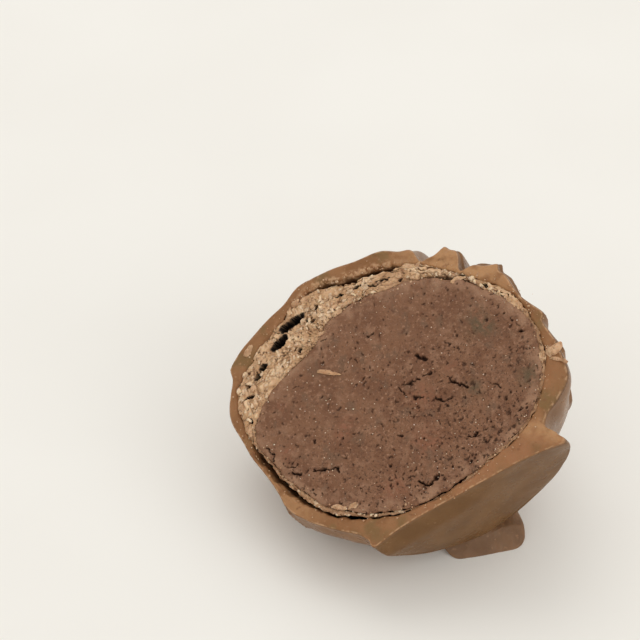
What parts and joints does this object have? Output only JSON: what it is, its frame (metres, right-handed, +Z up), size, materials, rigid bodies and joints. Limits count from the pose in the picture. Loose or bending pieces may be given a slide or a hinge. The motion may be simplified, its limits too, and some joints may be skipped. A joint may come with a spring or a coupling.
{
  "type": "chocolate truffle",
  "caption": "Half of a hand-dipped chocolate truffle, cut to show its coating, pale crumb layer and ganache, lying on its rounded back.",
  "frame": {"origin": "on the table, below the middle of the bounding box", "axes": "+Z up from the table, +X towards the higher end of the cut base line, +Y away from the side that the cut face looks to"},
  "size_m": [0.0384, 0.0332, 0.0289],
  "materials": {
    "milk_chocolate": "satin milk chocolate, matt where it is cut",
    "pale_crumb": "dry, open, flaky crumb",
    "ganache": "dense soft ganache, matt, with fine pores",
    "foot_chocolate": "satin milk chocolate, set flat"
  },
  "bodies": {
    "root": {"coating": "milk_chocolate", "crumb_layer": "pale_crumb", "ganache": "ganache", "foot": "foot_chocolate"}
  },
  "joints": []
}
